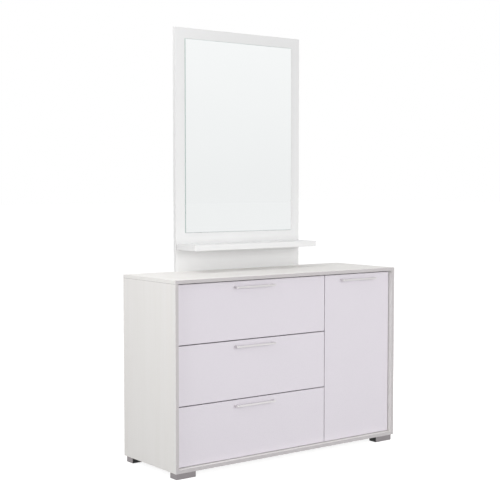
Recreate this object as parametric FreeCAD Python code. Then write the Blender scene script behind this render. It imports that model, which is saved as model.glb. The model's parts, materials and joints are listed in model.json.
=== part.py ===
import FreeCAD, Part
import math
import os

# A low dresser: three drawers on the left, one door on the right, four short feet,
# and a tall mirror panel with a small shelf, standing at the back edge of the top.
# Millimetres. +X is the right seen from the front, +Y the back, +Z up.
# The origin is on the floor, in the middle of the width and of the whole depth.

# Carcass
body_width = 1200.0
body_depth = 400.0
body_height = 774.0
board = 15.0
drawer_share = 2 / 3
partition_setback = 2.0
back_thickness = 3.0
back_lap = 8.0
rear_rail_height = 60.0
fit_play = 0.3
edge_ease = 0.5

# Fronts
front_board = 16.0
front_recess = 20.0
front_gap = 3.0
drawer_gap = 4.0
top_gap = 5.0
drawer_names = ("bottom_drawer", "middle_drawer", "top_drawer")

# Handles: a bow of flat bar
handle_length = 204.0
handle_standoff = 22.0
handle_height = 8.0
handle_bar = 5.0
handle_leg = 8.0
handle_corner = 6.0
handle_inner_corner = 2.0
handle_chamfer = 0.8
handle_drop = 24.0
handle_screw_radius = 2.0
handle_screw_head_radius = 4.5
handle_screw_head = 2.5
handle_screw_bite = 9.0

# Drawer boxes
box_board = 12.0
box_height = 160.0
box_depth = 330.0
box_lift = 30.0
box_bottom = 3.0
box_groove = 5.0
box_groove_lift = 10.0

# Telescopic rails: three folded steel channels that run in each other
rail_width = 12.7
rail_length = 300.0
rail_gauge = 1.2
rail_start = 2.0
rail_running_gap = 0.3
cabinet_rail_half = 22.5
cabinet_rail_tip = 9.5
cabinet_rail_lip = 3.0
middle_rail_half = 17.8
middle_rail_web = 3.2
middle_rail_tip = 11.0
middle_rail_lip = 2.8
drawer_rail_half = 13.6
drawer_rail_tip = 6.0
drawer_rail_lip = 2.4
cage_length = 140.0
cage_end = 8.0
outer_cage_width = 4.0
inner_cage_width = 3.2
rail_screw_inset = 35.0

# Sides of the small round pieces, which are many and mostly hidden, and how far out
# the middle of such a side lies as a share of the corners
screw_sides = 6
flat_share = math.cos(math.pi / screw_sides)

# Small wood screws that hold rails, hinge plates and feet
small_screw_radius = 1.75
small_screw_head_radius = 3.2
small_screw_head = 1.4
small_screw_bite = 11.0

# Door hinges: a cup let into the door, a pin near its rim and a cranked arm
hinge_inset = 100.0
pin_from_edge = 12.0
pin_from_front = 7.0
pin_radius = 1.2
pin_play = 0.07
eye_radius = 2.0
cup_radius = 17.5
cup_rim = 5.0
cup_depth = 12.4
cup_wall = 0.8
cup_flange = 1.2
cup_flange_width = 18.0
cup_flange_length = 54.0
cup_screw_spacing = 45.0
cup_ear = 1.2
cup_ear_gap = 0.8
cup_ear_half = 3.0
cup_ear_rise = 2.4
arm_gauge = 1.6
arm_width = 12.4
arm_neck = 12.5
arm_crank = 17.3
arm_reach = 80.0
arm_bend = 2.4
plate_thickness = 3.0
plate_start = 22.0
plate_length = 52.0
plate_height = 34.0
plate_screw_offset = 12.0
plate_screw_from_start = 16.0
arm_screw_from_start = 38.0
arm_screw_bite = 2.4
bumper_radius = 4.0
bumper_inset = 40.0

# Shelf inside the door compartment
inner_shelf_share = 0.5
inner_shelf_setback = 20.0
inner_shelf_rear_gap = 6.0
inner_shelf_play = 1.0
shelf_pin_radius = 2.5
shelf_pin_bite = 8.0
shelf_pin_plate = 2.0
shelf_pin_reach = 9.0
shelf_pin_width = 8.0
shelf_pin_inset = 40.0

# Nails of the back panel
nail_radius = 0.8
nail_head_radius = 2.5
nail_head = 0.8
nail_bite = 14.0
nail_inset = 90.0

# Board joints: cam discs with their bolts, and wooden dowels
cam_radius = 7.5
cam_depth = 12.5
cam_reach = 24.0
cam_bolt_radius = 2.5
cam_bolt_bite = 10.0
dowel_radius = 4.0
dowel_length = 30.0
dowel_face_bite = 10.0
joint_inset = 60.0

# Feet: a dark block with a bright angle round its two outer faces
foot_height = 26.0
foot_length = 93.0
foot_depth = 46.0
foot_inset = 8.0
foot_trim = 1.0
foot_trim_lift = 0.5
foot_chamfer = 1.5
foot_screw_inset = 22.0
foot_screw_radius = 2.0
foot_screw_head_radius = 4.0
foot_screw_head = 3.0
foot_screw_recess = 12.0
foot_screw_bite = 12.0

# Mirror panel, glass, shelf and the straps that hold the panel up from behind
mirror_width = 692.0
mirror_height = 1056.0
mirror_board = 18.0
glass_side_margin = 50.0
glass_foot = 168.0
glass_head = 46.0
glass_thickness = 4.0
glass_bevel = 1.2
small_shelf_width = 676.0
small_shelf_depth = 136.0
small_shelf_board = 25.0
small_shelf_foot = 95.0
small_shelf_chamfer = 1.0
strap_width = 40.0
strap_thickness = 4.0
strap_spacing = 420.0
strap_rise = 420.0
strap_drop = 78.0
strap_low_screw_share = 2 / 3
strap_chamfer = 6.0
strap_screw_radius = 2.25
strap_screw_head_radius = 4.5
strap_screw_head = 2.4
strap_screw_bite = 13.0
shelf_screw_bite = 40.0
shelf_screw_inset = 60.0

# One overrun serves every cut that has to pass a face; points closer than touch are one
overrun = 1.0
touch = 0.01

# Derived places
X_AXIS = FreeCAD.Vector(1, 0, 0)
Y_AXIS = FreeCAD.Vector(0, 1, 0)
Z_AXIS = FreeCAD.Vector(0, 0, 1)

handle_proud = max(handle_standoff - front_recess, 0)
strap_proud = strap_thickness + strap_screw_head
front_y = handle_proud - (body_depth + handle_proud + strap_proud) / 2
back_y = front_y + body_depth
left_x = -body_width / 2
right_x = body_width / 2
inner_left = left_x + board
inner_right = right_x - board
base_z = foot_height
top_z = base_z + body_height
inner_base = base_z + board
inner_top = top_z - board
face_y = front_y + front_recess
face_back_y = face_y + front_board
back_panel_y = back_y - back_thickness
partition_y = face_back_y + partition_setback
split_x = inner_left + drawer_share * (inner_right - inner_left)
partition_left = split_x - board / 2
partition_right = split_x + board / 2
drawer_count = len(drawer_names)
fronts_base = inner_base + front_gap
fronts_top = inner_top - top_gap
front_height = (fronts_top - fronts_base + drawer_gap) / drawer_count - drawer_gap
mirror_y = back_y - mirror_board
pin_x = inner_right - front_gap - pin_from_edge
pin_y = face_y + pin_from_front
cup_x = inner_right - front_gap - cup_rim - cup_radius

parts = {}


def vec(x, y, z):
    """A point or direction."""
    return FreeCAD.Vector(x, y, z)


def block(x0, x1, y0, y1, z0, z1):
    """A board between two opposite corners."""
    return Part.makeBox(x1 - x0, y1 - y0, z1 - z0, vec(x0, y0, z0))


def rod(radius, start, direction, length):
    """A round bar from a point along a direction."""
    return Part.makeCylinder(radius, length, start, direction)


def prism(radius, start, direction, length):
    """A bar with a few flat sides from a point along a direction."""
    turns = [2 * math.pi * k / screw_sides for k in range(screw_sides)]
    corners = [vec(radius * math.cos(turn), radius * math.sin(turn), 0) for turn in turns]
    bar = Part.Face(Part.makePolygon(corners + corners[:1])).extrude(Z_AXIS * length)
    bar.Placement = FreeCAD.Placement(start, FreeCAD.Rotation(Z_AXIS, direction))
    return bar


def screw(seat, direction, radius, bite, head_radius, head):
    """A flat-headed screw: its head stands on the seat, its shank goes along the direction."""
    shank = prism(radius, seat, direction, bite)
    return shank.fuse(prism(head_radius, seat + direction * -head, direction, head))


def outline(points, place):
    """A flat face from a list of (u, v) points, which place turns into points in space."""
    corners = [place(u, v) for u, v in points]
    return Part.Face(Part.makePolygon(corners + corners[:1]))


def edges_at(shape, test):
    """The edges whose middle and direction pass a test."""
    found = []
    for edge in shape.Edges:
        first = edge.valueAt(edge.FirstParameter)
        last = edge.valueAt(edge.LastParameter)
        if test((first + last) * 0.5, last - first):
            found.append(edge)
    return found


def upright(direction):
    """True for a direction along Z."""
    return abs(direction.z) > abs(direction.x) + abs(direction.y)


def edges_over(shape, spot):
    """The upright edges that stand over or under a point."""
    return edges_at(shape, lambda at, way: upright(way)
                    and math.hypot(at.x - spot.x, at.y - spot.y) < touch)


def eased(board_solid, test):
    """A board whose edges that pass a test have a small bevel."""
    return board_solid.makeChamfer(edge_ease, edges_at(board_solid, test))


def at_face(at, way):
    """True for the four edges of a front's outer face."""
    return at.y < face_y + touch


def at_end(at, way):
    """True for the edges of the carcass's two end faces."""
    return abs(at.x) > right_x - touch


def at_top_or_end(at, way):
    """True for the edges of the top face and of the two end faces."""
    return at.z > top_z - touch or at_end(at, way)


def keep(name, shapes):
    """Files one node: one solid, or a group of separate solids."""
    solids = []
    for shape in shapes:
        solids += shape.Solids
    parts[name] = solids[0] if len(solids) == 1 else Part.makeCompound(solids)


def seat_in(board_solid, hardware):
    """Cuts the seats of pins, screws and fittings into a board."""
    return board_solid.cut(Part.makeCompound(hardware)) if hardware else board_solid


# Board joints


def cam_joint(seat, into, face):
    """The disc and bolt of one joint, at a point in the middle of the joint's plane.

    into points along the bolt into the board that holds the disc, and face out of
    the side of that board from which the disc is let in.
    """
    bolt = prism(cam_bolt_radius, seat - into * cam_bolt_bite, into, cam_bolt_bite + cam_reach)
    mouth = seat + into * cam_reach + face * (board / 2)
    disc = prism(cam_radius, mouth, face * -1, cam_depth)
    return disc.cut(bolt), bolt


def dowel(seat, into):
    """A wooden dowel, the shorter part of it in the board that is met face on."""
    return prism(dowel_radius, seat - into * dowel_face_bite, into, dowel_length)


def board_joints():
    """Two cam fittings and a dowel between them for each of the six joints of the boards."""
    cams = []
    dowels = []
    middle = board / 2
    lines = (
        (vec(inner_left - middle, 0, inner_top), Z_AXIS * -1, X_AXIS),
        (vec(inner_right + middle, 0, inner_top), Z_AXIS * -1, X_AXIS * -1),
        (vec(split_x, 0, inner_top), Z_AXIS * -1, X_AXIS),
        (vec(inner_left, 0, base_z + middle), X_AXIS, Z_AXIS * -1),
        (vec(inner_right, 0, base_z + middle), X_AXIS * -1, Z_AXIS * -1),
        (vec(split_x, 0, inner_base), Z_AXIS, X_AXIS),
    )
    for seat, into, face in lines:
        for y in (front_y + joint_inset, back_y - joint_inset):
            cams += cam_joint(seat + Y_AXIS * y, into, face)
        dowels.append(dowel(seat + Y_AXIS * ((front_y + back_y) / 2), into))
    return cams, dowels


# Rails


def channel(web, tip, half, lip):
    """Outline points of a folded channel: a web, two flanges and their turned-in lips."""
    gauge = math.copysign(rail_gauge, tip - web)
    upper = [
        (web, half),
        (tip, half),
        (tip, half - lip),
        (tip - gauge, half - lip),
        (tip - gauge, half - rail_gauge),
        (web + gauge, half - rail_gauge),
    ]
    lower = [(u, -v) for u, v in reversed(upper)]
    return upper + lower


def along_rail(points, wall_x, inward, middle_z, start, length):
    """Extrudes a rail section. u counts from the wall into the drawer space, v is the height."""
    face = outline(points, lambda u, v: vec(wall_x + inward * u, start, middle_z + v))
    return face.extrude(Y_AXIS * length)


def cage(u0, u1, v0, v1):
    """Outline points of a ball cage's bar, above the middle of the rail."""
    return [(u0, v0), (u1, v0), (u1, v1), (u0, v1)]


def rail_set(wall_x, inward, middle_z):
    """The three members of one rail and its screws, at one wall of the drawer space."""
    start = face_back_y + rail_start
    end = start + rail_length

    def member(points):
        return along_rail(points, wall_x, inward, middle_z, start, rail_length)

    cabinet = member(channel(0, cabinet_rail_tip, cabinet_rail_half, cabinet_rail_lip))
    middle = member(channel(middle_rail_web, middle_rail_tip, middle_rail_half, middle_rail_lip))
    drawer = member(channel(rail_width, drawer_rail_tip, drawer_rail_half, drawer_rail_lip))

    outer_u = middle_rail_web + rail_running_gap
    outer_top = cabinet_rail_half - rail_gauge - rail_running_gap
    inner_u = drawer_rail_tip + rail_running_gap
    inner_top_v = middle_rail_half - rail_gauge
    inner_low_v = drawer_rail_half + rail_running_gap
    outer_bar = cage(outer_u, outer_u + outer_cage_width, middle_rail_half, outer_top)
    inner_bar = cage(inner_u, inner_u + inner_cage_width, inner_low_v, inner_top_v)
    cages = ((outer_bar, end - cage_end - cage_length), (inner_bar, start + cage_end))
    for points, cage_start in cages:
        for flip in (1, -1):
            bar = [(u, flip * v) for u, v in points]
            middle = middle.fuse(along_rail(bar, wall_x, inward, middle_z, cage_start, cage_length))

    cabinet_screws = []
    drawer_screws = []
    for y in (start + rail_screw_inset, end - rail_screw_inset):
        web = vec(wall_x + inward * rail_gauge, y, middle_z)
        cabinet_screws.append(small_screw(web, X_AXIS * -inward))
        web = vec(wall_x + inward * (rail_width - rail_gauge), y, middle_z)
        drawer_screws.append(small_screw(web, X_AXIS * inward))
    return {
        "cabinet": seat_in(cabinet, cabinet_screws),
        "middle": middle.removeSplitter(),
        "drawer": seat_in(drawer, drawer_screws),
        "cabinet_screws": cabinet_screws,
        "drawer_screws": drawer_screws,
    }


def small_screw(seat, direction):
    """A short wood screw."""
    return screw(seat, direction, small_screw_radius, small_screw_bite,
                 small_screw_head_radius, small_screw_head)


# Handles


def handle_at(middle_x, top_edge):
    """A bow handle on a front, and the two screws that hold it through the front."""
    x0 = middle_x - handle_length / 2
    x1 = middle_x + handle_length / 2
    y0 = face_y - handle_standoff
    z0 = top_edge - handle_drop - handle_height / 2
    z1 = z0 + handle_height
    bow = block(x0, x1, y0, face_y, z0, z1)
    bow = bow.makeFillet(handle_corner, edges_at(
        bow, lambda at, way: upright(way) and at.y < face_y - handle_standoff / 2))
    gap = block(x0 + handle_leg, x1 - handle_leg, y0 + handle_bar, face_y + overrun, z0, z1)
    gap = gap.makeChamfer(handle_inner_corner, edges_at(
        gap, lambda at, way: upright(way) and at.y < face_y - handle_standoff / 2))
    bow = bow.cut(gap)
    bow = bow.makeChamfer(handle_chamfer, edges_at(
        bow, lambda at, way: not upright(way) and at.y < y0 + touch))
    screws = []
    for x in (x0 + handle_leg / 2, x1 - handle_leg / 2):
        seat = vec(x, face_back_y, (z0 + z1) / 2)
        screws.append(screw(seat, Y_AXIS * -1, handle_screw_radius, front_board + handle_screw_bite,
                            handle_screw_head_radius, handle_screw_head))
    return seat_in(bow, screws), screws


# Drawers


def make_drawer(name, low_z):
    """One drawer with its box, handle and rails; returns its left and right rail."""
    x0 = inner_left + front_gap
    x1 = split_x - front_gap / 2
    high_z = low_z + front_height
    box_x0 = inner_left + rail_width
    box_x1 = partition_left - rail_width
    box_z0 = low_z + box_lift
    box_z1 = box_z0 + box_height
    box_end = face_back_y + box_depth
    groove_z0 = box_z0 + box_groove_lift
    groove_z1 = groove_z0 + box_bottom + fit_play
    inner_x0 = box_x0 + box_board
    inner_x1 = box_x1 - box_board
    inner_end = box_end - box_board

    handle, handle_screws = handle_at((x0 + x1) / 2, high_z)
    left_rail = rail_set(inner_left, 1, (box_z0 + box_z1) / 2)
    right_rail = rail_set(partition_left, -1, (box_z0 + box_z1) / 2)

    groove = block(inner_x0 - box_groove, inner_x1 + box_groove, face_back_y - box_groove,
                   inner_end + box_groove, groove_z0, groove_z1)
    front = eased(block(x0, x1, face_y, face_back_y, low_z, high_z), at_face)
    left_side = block(box_x0, inner_x0, face_back_y, box_end, box_z0, box_z1)
    right_side = block(inner_x1, box_x1, face_back_y, box_end, box_z0, box_z1)
    back = block(inner_x0, inner_x1, inner_end, box_end, box_z0, box_z1)
    bottom = block(inner_x0 - box_groove + fit_play, inner_x1 + box_groove - fit_play,
                   face_back_y - box_groove + fit_play, inner_end + box_groove - fit_play,
                   groove_z0, groove_z0 + box_bottom)

    keep(name + "_front", [seat_in(front.cut(groove), handle_screws)])
    keep(name + "_left_side", [seat_in(left_side.cut(groove), left_rail["drawer_screws"])])
    keep(name + "_right_side", [seat_in(right_side.cut(groove), right_rail["drawer_screws"])])
    keep(name + "_back", [back.cut(groove)])
    keep(name + "_bottom", [bottom])
    keep(name + "_handle", [handle])
    keep(name + "_middle_rails", [left_rail["middle"], right_rail["middle"]])
    keep(name + "_inner_rails", [left_rail["drawer"], right_rail["drawer"]])
    keep(name + "_screws", handle_screws + left_rail["drawer_screws"] + right_rail["drawer_screws"])
    return left_rail, right_rail


# Door and hinges


def folded_strip(route, gauge, bend, width):
    """A flat bar of even gauge folded along square-cornered points, rounded outside its bends."""
    normals = [Z_AXIS.cross(last - first).normalize() for first, last in zip(route, route[1:])]
    shifts = [normals[0]] + [one + two for one, two in zip(normals, normals[1:])] + [normals[-1]]
    left = [point + shift * (gauge / 2) for point, shift in zip(route, shifts)]
    right = [point - shift * (gauge / 2) for point, shift in zip(route, shifts)]
    corners = left + right[::-1]
    bar = Part.Face(Part.makePolygon(corners + corners[:1])).extrude(Z_AXIS * width)
    for k in range(1, len(route) - 1):
        turns_left = normals[k - 1].cross(normals[k]).z > 0
        bar = bar.makeFillet(bend, edges_over(bar, right[k] if turns_left else left[k]))
    return bar


def hinge_arm(middle_z):
    """The arm: an eye round the pin, a neck out of the cup and a long foot on the plate."""
    foot_x = inner_right - pin_x - plate_thickness - arm_gauge / 2
    route = [vec(0, 0, 0), vec(-arm_neck, 0, 0), vec(-arm_neck, arm_crank, 0),
             vec(foot_x, arm_crank, 0), vec(foot_x, arm_reach, 0)]
    arm = folded_strip(route, arm_gauge, arm_bend, arm_width)
    arm = arm.fuse(prism(eye_radius, vec(0, 0, 0), Z_AXIS, arm_width)).removeSplitter()
    arm = arm.cut(prism((pin_radius + pin_play) / flat_share, Z_AXIS * -overrun, Z_AXIS,
                        arm_width + 2 * overrun))
    arm.translate(vec(pin_x, pin_y, middle_z - arm_width / 2))
    return arm


def hinge_cup(middle_z, cup_seat):
    """The cup with its flange and the two ears that grip the pin, and the pin itself."""
    flange = block(cup_x - cup_flange_width / 2, cup_x + cup_flange_width / 2,
                   face_back_y, face_back_y + cup_flange,
                   middle_z - cup_flange_length / 2, middle_z + cup_flange_length / 2)
    hollow = rod(cup_radius - cup_wall, vec(cup_x, face_back_y + cup_flange + overrun, middle_z),
                 Y_AXIS * -1, cup_flange + overrun + cup_depth - cup_wall)
    cup = cup_seat.fuse(flange).cut(hollow)
    ear_low = arm_width / 2 + cup_ear_gap
    ear_high = ear_low + cup_ear
    floor_y = face_back_y - cup_depth + cup_wall
    for low in (ear_low, -ear_high):
        cup = cup.fuse(block(pin_x - cup_ear_half, pin_x + cup_ear_half,
                             floor_y - cup_wall / 2, pin_y + cup_ear_rise,
                             middle_z + low, middle_z + low + cup_ear))
    start = vec(pin_x, pin_y, middle_z - ear_high)
    hole = prism(pin_radius / flat_share, start, Z_AXIS, 2 * ear_high)
    return cup.removeSplitter().cut(hole), rod(pin_radius, start, Z_AXIS, 2 * ear_high)


def hinge_at(middle_z):
    """The pieces of one hinge and the seats that they need in the door."""
    cup_seat = rod(cup_radius, vec(cup_x, face_back_y, middle_z), Y_AXIS * -1, cup_depth)
    cup, pin = hinge_cup(middle_z, cup_seat)
    plate_x = inner_right - plate_thickness
    plate_y = pin_y + plate_start
    plate = block(plate_x, inner_right, plate_y, plate_y + plate_length,
                  middle_z - plate_height / 2, middle_z + plate_height / 2)
    wall_screws = []
    cup_screws = []
    for sign in (1, -1):
        wall_screws.append(small_screw(
            vec(plate_x, plate_y + plate_screw_from_start, middle_z + sign * plate_screw_offset), X_AXIS))
        cup_screws.append(small_screw(
            vec(cup_x, face_back_y + cup_flange, middle_z + sign * cup_screw_spacing / 2), Y_AXIS * -1))
    arm_screw = screw(vec(plate_x - arm_gauge, plate_y + arm_screw_from_start, middle_z), X_AXIS,
                      small_screw_radius, arm_gauge + arm_screw_bite,
                      small_screw_head_radius, small_screw_head)
    return {
        "cup": seat_in(cup, cup_screws),
        "pin": pin,
        "arm": seat_in(hinge_arm(middle_z), [arm_screw]),
        "plate": seat_in(plate, wall_screws + [arm_screw]),
        "carcass_screws": wall_screws + [arm_screw],
        "cup_screws": cup_screws,
        "cup_seat": cup_seat,
    }


def make_door():
    """The door with its handle and hinges; returns the screws in the right side panel."""
    x0 = split_x + front_gap / 2
    x1 = inner_right - front_gap
    z0 = fronts_base
    z1 = fronts_top
    handle, screws = handle_at((x0 + x1) / 2, z1)
    hinges = [hinge_at(z0 + hinge_inset), hinge_at(z1 - hinge_inset)]
    carcass_screws = []
    for hinge in hinges:
        screws += hinge["cup_screws"]
        carcass_screws += hinge["carcass_screws"]
    panel = eased(block(x0, x1, face_y, face_back_y, z0, z1), at_face)
    keep("door_panel", [seat_in(panel, screws + [hinge["cup_seat"] for hinge in hinges])])
    keep("door_handle", [handle])
    keep("door_screws", screws)
    for piece in ("cup", "pin", "arm", "plate"):
        keep("hinge_" + piece + "s", [hinge[piece] for hinge in hinges])
    bumpers = []
    for z in (z0 + bumper_inset, z1 - bumper_inset):
        at = vec((x0 + partition_right) / 2, partition_y, z)
        bumpers.append(prism(bumper_radius, at, Y_AXIS * -1, partition_setback - fit_play))
    keep("door_bumpers", bumpers)
    return carcass_screws


# Shelf in the compartment


def make_inner_shelf():
    """The compartment's shelf on four plate pins; returns the pins."""
    x0 = partition_right
    x1 = inner_right
    y0 = partition_y + inner_shelf_setback
    y1 = back_panel_y - inner_shelf_rear_gap
    z0 = inner_base + inner_shelf_share * (inner_top - inner_base) - board / 2
    shelf = block(x0 + inner_shelf_play, x1 - inner_shelf_play, y0, y1, z0, z0 + board)
    pins = []
    for x, inward in ((x0, 1), (x1, -1)):
        for y in (y0 + shelf_pin_inset, y1 - shelf_pin_inset):
            centre_z = z0 - shelf_pin_radius
            peg = prism(shelf_pin_radius, vec(x, y, centre_z), X_AXIS * -inward, shelf_pin_bite)
            near, far = sorted((x, x + inward * shelf_pin_reach))
            plate = block(near, far, y - shelf_pin_width / 2, y + shelf_pin_width / 2,
                          z0 - shelf_pin_plate, z0)
            root_near, root_far = sorted((x, x + inward * shelf_pin_plate))
            root = block(root_near, root_far, y - shelf_pin_width / 2, y + shelf_pin_width / 2,
                         centre_z - shelf_pin_radius, z0)
            pins.append(peg.fuse([plate, root]).removeSplitter())
    keep("compartment_shelf", [shelf])
    keep("shelf_pins", pins)
    return pins


# Feet


def make_feet():
    """Four feet, their bright angles and their screws; returns the screws."""
    screws = []
    trims = []
    for side_name, side in (("left", -1), ("right", 1)):
        outer_x = side * (body_width / 2 - foot_inset)
        inner_x = outer_x - side * foot_length
        for end_name, end in (("front", -1), ("rear", 1)):
            outer_y = (front_y + foot_inset) if end < 0 else (back_y - foot_inset)
            inner_y = outer_y - end * foot_depth
            x0, x1 = sorted((outer_x, inner_x))
            y0, y1 = sorted((outer_y, inner_y))
            whole = block(x0, x1, y0, y1, 0, foot_height)
            core_x0, core_x1 = sorted((outer_x - side * foot_trim, inner_x))
            core_y0, core_y1 = sorted((outer_y - end * foot_trim, inner_y))
            core = block(core_x0, core_x1, core_y0, core_y1, 0, foot_height)
            trim = whole.cut(core).cut(block(x0, x1, y0, y1, 0, foot_trim_lift))
            core = core.makeChamfer(foot_chamfer, edges_at(
                core, lambda at, way: upright(way) and abs(at.x - inner_x) < foot_chamfer
                and abs(at.y - inner_y) < foot_chamfer))
            own = []
            for x in (inner_x + side * foot_screw_inset, outer_x - side * foot_screw_inset):
                seat = vec(x, (y0 + y1) / 2, foot_screw_recess)
                own.append(screw(seat, Z_AXIS, foot_screw_radius,
                                 foot_height - foot_screw_recess + foot_screw_bite,
                                 foot_screw_head_radius, foot_screw_head))
                well = prism(foot_screw_head_radius, vec(x, (y0 + y1) / 2, -overrun), Z_AXIS,
                             overrun + foot_screw_recess)
                core = core.cut(well)
            keep(end_name + "_" + side_name + "_foot", [seat_in(core, own)])
            screws += own
            trims.append(trim)
    keep("foot_trims", trims)
    keep("foot_screws", screws)
    return screws


# Mirror


def make_mirror():
    """The mirror panel with its glass and shelf, and the straps behind; returns the strap screws."""
    half = mirror_width / 2
    panel = block(-half, half, mirror_y, back_y, top_z, top_z + mirror_height)
    glass_half = half - glass_side_margin
    glass = block(-glass_half, glass_half, mirror_y - glass_thickness, mirror_y,
                  top_z + glass_foot, top_z + mirror_height - glass_head)
    glass = glass.makeChamfer(glass_bevel, edges_at(
        glass, lambda at, way: at.y < mirror_y - glass_thickness / 2 and abs(way.y) < touch))
    shelf_z = top_z + small_shelf_foot
    shelf = block(-small_shelf_width / 2, small_shelf_width / 2, mirror_y - small_shelf_depth, mirror_y,
                  shelf_z, shelf_z + small_shelf_board)
    shelf = shelf.makeChamfer(small_shelf_chamfer, edges_at(
        shelf, lambda at, way: at.y < mirror_y - small_shelf_depth / 2 and abs(way.y) < touch))

    shelf_screws = []
    shelf_span = small_shelf_width / 2 - shelf_screw_inset
    for x in (-shelf_span, 0, shelf_span):
        seat = vec(x, back_y - strap_screw_head, shelf_z + small_shelf_board / 2)
        shelf_screws.append(screw(seat, Y_AXIS * -1, strap_screw_radius,
                                  mirror_board - strap_screw_head + shelf_screw_bite,
                                  strap_screw_head_radius, strap_screw_head))
    straps = []
    panel_screws = []
    carcass_screws = []
    for x in (-strap_spacing / 2, strap_spacing / 2):
        low, high = top_z - strap_drop, top_z + strap_rise
        bar = block(x - strap_width / 2, x + strap_width / 2, back_y, back_y + strap_thickness, low, high)
        bar = bar.makeChamfer(strap_chamfer, edges_at(
            bar, lambda at, way: abs(way.y) > strap_thickness / 2))
        own = []
        heights = (top_z - board / 2, inner_top - rear_rail_height * strap_low_screw_share,
                   (top_z + small_shelf_foot + high) / 2, high - strap_width / 2)
        for z in heights:
            own.append(screw(vec(x, back_y + strap_thickness, z), Y_AXIS * -1,
                             strap_screw_radius, strap_thickness + strap_screw_bite,
                             strap_screw_head_radius, strap_screw_head))
        carcass_screws += own[:2]
        panel_screws += own[2:]
        straps.append(seat_in(bar, own))
    keep("mirror_panel", [seat_in(panel, shelf_screws + panel_screws)])
    keep("mirror_glass", [glass])
    keep("mirror_shelf", [seat_in(shelf, shelf_screws)])
    keep("mirror_straps", straps)
    keep("mirror_screws", shelf_screws + panel_screws + carcass_screws)
    return carcass_screws


# Carcass


def make_nails():
    """Nails that hold the back panel to the two sides and to the partition."""
    lap = back_lap / 2
    rows = [(x, z) for x in (inner_left - lap, split_x, inner_right + lap)
            for z in (inner_base + nail_inset, inner_top - nail_inset)]
    nails = [screw(vec(x, back_y, z), Y_AXIS * -1, nail_radius, back_thickness + nail_bite,
                   nail_head_radius, nail_head) for x, z in rows]
    keep("back_panel_nails", nails)
    return nails


def make_carcass(hardware):
    """The boards of the carcass, each with the seats of the hardware that it carries."""
    rebate = block(inner_left - back_lap, inner_right + back_lap, back_panel_y, back_y + overrun,
                   inner_base - back_lap, inner_top + back_lap)
    rail = block(inner_left, inner_right, back_panel_y - board, back_panel_y,
                 inner_top - rear_rail_height, inner_top)
    top = block(left_x, right_x, front_y, back_y, inner_top, top_z)
    left = block(left_x, inner_left, front_y, back_y, base_z, inner_top)
    right = block(inner_right, right_x, front_y, back_y, base_z, inner_top)
    boards = {
        "top_panel": eased(top, at_top_or_end).cut(rebate),
        "bottom_panel": block(inner_left, inner_right, front_y, back_y, base_z, inner_base).cut(rebate),
        "left_side_panel": eased(left, at_end).cut(rebate),
        "right_side_panel": eased(right, at_end).cut(rebate),
        "centre_partition": block(partition_left, partition_right, partition_y, back_panel_y,
                                  inner_base, inner_top).cut(rail),
        "rear_rail": rail,
        "back_panel": block(inner_left - back_lap + fit_play, inner_right + back_lap - fit_play,
                            back_panel_y, back_y, inner_base - back_lap + fit_play,
                            inner_top + back_lap - fit_play),
    }
    for name, solid in boards.items():
        touching = [item for item in hardware if item.BoundBox.intersect(solid.BoundBox)]
        keep(name, [seat_in(solid, touching)])


def build():
    """Makes every node."""
    cams, dowels = board_joints()
    cabinet_rails = []
    rail_screws = []
    for level, name in enumerate(drawer_names):
        low_z = fronts_base + level * (front_height + drawer_gap)
        for rail in make_drawer(name, low_z):
            cabinet_rails.append(rail["cabinet"])
            rail_screws += rail["cabinet_screws"]
    keep("cabinet_rails", cabinet_rails)
    hinge_screws = make_door()
    pins = make_inner_shelf()
    foot_screws = make_feet()
    strap_screws = make_mirror()
    keep("rail_and_hinge_screws", rail_screws + hinge_screws)
    keep("cam_fittings", cams)
    keep("wood_dowels", dowels)
    nails = make_nails()
    make_carcass(cams + dowels + rail_screws + hinge_screws + pins + foot_screws + strap_screws + nails)


build()
os.makedirs("parts", exist_ok=True)
for node, shape in parts.items():
    shape.exportStep("parts/" + node + ".step")
print(len(parts), "nodes")
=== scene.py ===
import json
import math

import bmesh
import bpy
from bpy.props import FloatProperty, FloatVectorProperty, PointerProperty
from mathutils import Matrix, Vector
from mathutils.geometry import tessellate_polygon

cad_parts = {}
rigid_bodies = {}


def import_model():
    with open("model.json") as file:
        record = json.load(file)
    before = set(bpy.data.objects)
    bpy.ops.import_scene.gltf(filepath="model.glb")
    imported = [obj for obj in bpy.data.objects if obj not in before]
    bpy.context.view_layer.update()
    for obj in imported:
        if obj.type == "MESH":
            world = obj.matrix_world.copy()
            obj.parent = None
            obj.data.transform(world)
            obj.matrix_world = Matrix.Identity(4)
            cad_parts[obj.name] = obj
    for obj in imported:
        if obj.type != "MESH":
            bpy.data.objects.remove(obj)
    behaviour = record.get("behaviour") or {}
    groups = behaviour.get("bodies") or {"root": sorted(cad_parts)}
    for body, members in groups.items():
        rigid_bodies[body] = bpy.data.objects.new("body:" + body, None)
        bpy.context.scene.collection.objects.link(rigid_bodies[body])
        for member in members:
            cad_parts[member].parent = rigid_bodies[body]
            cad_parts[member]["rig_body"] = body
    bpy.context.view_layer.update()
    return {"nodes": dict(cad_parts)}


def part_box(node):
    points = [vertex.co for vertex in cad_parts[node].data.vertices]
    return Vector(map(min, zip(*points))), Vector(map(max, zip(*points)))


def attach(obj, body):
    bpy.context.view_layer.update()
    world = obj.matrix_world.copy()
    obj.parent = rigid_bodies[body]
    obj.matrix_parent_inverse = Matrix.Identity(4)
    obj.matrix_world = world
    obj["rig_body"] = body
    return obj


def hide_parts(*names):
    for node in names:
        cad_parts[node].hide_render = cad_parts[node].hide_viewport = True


# A low dresser with three drawers, one door and a tall mirror panel: the finishes of
# its boards and fittings, its small fastenings in full detail, and a plain studio.
# Metres. +X is the right seen from the front, +Y the back, +Z up.

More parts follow.
